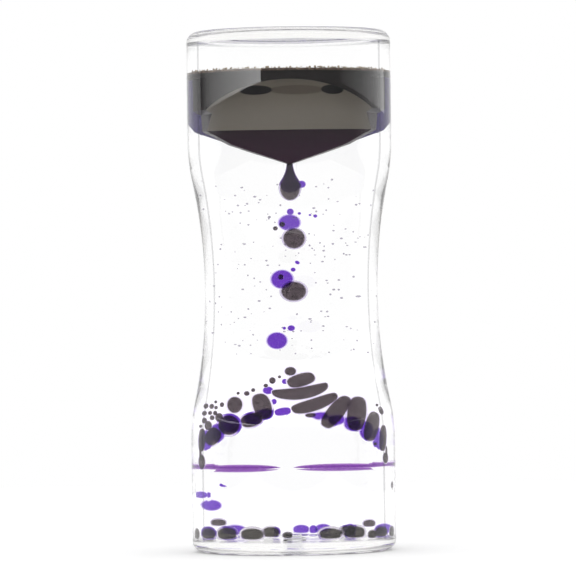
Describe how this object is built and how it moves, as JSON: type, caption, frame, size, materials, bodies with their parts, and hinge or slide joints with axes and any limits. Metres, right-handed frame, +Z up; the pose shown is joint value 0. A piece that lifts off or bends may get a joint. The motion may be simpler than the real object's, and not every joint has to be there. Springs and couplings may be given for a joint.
{
  "type": "liquid motion timer",
  "caption": "Waisted clear round liquid timer with sealed chambers back to back: dark and purple drops fall from V-shaped spouts onto a roof below. It stands on either end.",
  "frame": {"origin": "centre of the bottom cap's resting face", "axes": "+Z up along the vessel's axis, -Y towards the front chamber that holds the dark liquid, +X to the right seen from there"},
  "size_m": [0.055, 0.055, 0.14],
  "materials": {
    "clear_acrylic": "polished clear acrylic",
    "clear_plug": "clear moulded plug",
    "clear_insert": "clear moulded acrylic",
    "black_liquid": "dark tinted heavy liquid",
    "purple_liquid": "purple tinted heavy liquid"
  },
  "bodies": {
    "vessel": {"front_shell": "clear_acrylic", "rear_shell": "clear_acrylic", "divider_plate": "clear_acrylic", "top_cap": "clear_acrylic", "bottom_cap": "clear_acrylic", "front_fill_plug": "clear_plug", "rear_fill_plug": "clear_plug", "upper_front_spout": "clear_insert", "upper_rear_spout": "clear_insert", "lower_front_spout": "clear_insert", "lower_rear_spout": "clear_insert", "upper_front_hopper": "clear_insert", "upper_rear_hopper": "clear_insert", "lower_front_hopper": "clear_insert", "lower_rear_hopper": "clear_insert", "black_pool": "black_liquid", "black_heap_right": "black_liquid", "black_heap_left": "black_liquid", "black_heap_beads": "black_liquid", "black_side_drips": "black_liquid", "black_floor_drops": "black_liquid", "black_resting_drops": "black_liquid", "purple_pool": "purple_liquid", "purple_heap": "purple_liquid", "purple_wall_streaks": "purple_liquid", "purple_seam_film": "purple_liquid", "purple_floor_drops": "purple_liquid", "mist_droplets": "black_liquid"},
    "black_drop_1": {"black_drop_1": "black_liquid"},
    "black_drop_2": {"black_drop_2": "black_liquid"},
    "black_drop_3": {"black_drop_3": "black_liquid"},
    "purple_drop_1": {"purple_drop_1": "purple_liquid"},
    "purple_drop_2": {"purple_drop_2": "purple_liquid"},
    "purple_drop_3": {"purple_drop_3": "purple_liquid"},
    "purple_drop_4": {"purple_drop_4": "purple_liquid"},
    "purple_settling_drops": {"purple_settling_drops": "purple_liquid"}
  },
  "joints": [
    {"name": "black_drop_1_fall", "type": "slide", "parent": "vessel", "child": "black_drop_1", "axis": [0, 0, -1], "range_m": [0, 0.0139]},
    {"name": "black_drop_2_fall", "type": "slide", "parent": "vessel", "child": "black_drop_2", "axis": [0, 0, -1], "range_m": [0, 0.0139]},
    {"name": "black_drop_3_fall", "type": "slide", "parent": "vessel", "child": "black_drop_3", "axis": [0, 0, -1], "range_m": [0, 0.0139]},
    {"name": "purple_drop_1_fall", "type": "slide", "parent": "vessel", "child": "purple_drop_1", "axis": [0, 0, -1], "range_m": [0, 0.007]},
    {"name": "purple_drop_2_fall", "type": "slide", "parent": "vessel", "child": "purple_drop_2", "axis": [0, 0, -1], "range_m": [0, 0.007]},
    {"name": "purple_drop_3_fall", "type": "slide", "parent": "vessel", "child": "purple_drop_3", "axis": [0, 0, -1], "range_m": [0, 0.007]},
    {"name": "purple_drop_4_fall", "type": "slide", "parent": "vessel", "child": "purple_drop_4", "axis": [0, 0, -1], "range_m": [0, 0.007]},
    {"name": "purple_settling_drops_fall", "type": "slide", "parent": "vessel", "child": "purple_settling_drops", "axis": [0, 0, -1], "range_m": [0, 0.0035]}
  ],
  "couplings": [
    {"joint": "black_drop_2_fall", "follows": "black_drop_1_fall", "ratio": 1},
    {"joint": "black_drop_3_fall", "follows": "black_drop_1_fall", "ratio": 1},
    {"joint": "purple_drop_2_fall", "follows": "purple_drop_1_fall", "ratio": 1},
    {"joint": "purple_drop_3_fall", "follows": "purple_drop_1_fall", "ratio": 1},
    {"joint": "purple_drop_4_fall", "follows": "purple_drop_1_fall", "ratio": 1},
    {"joint": "purple_settling_drops_fall", "follows": "purple_drop_1_fall", "ratio": 0.5}
  ]
}
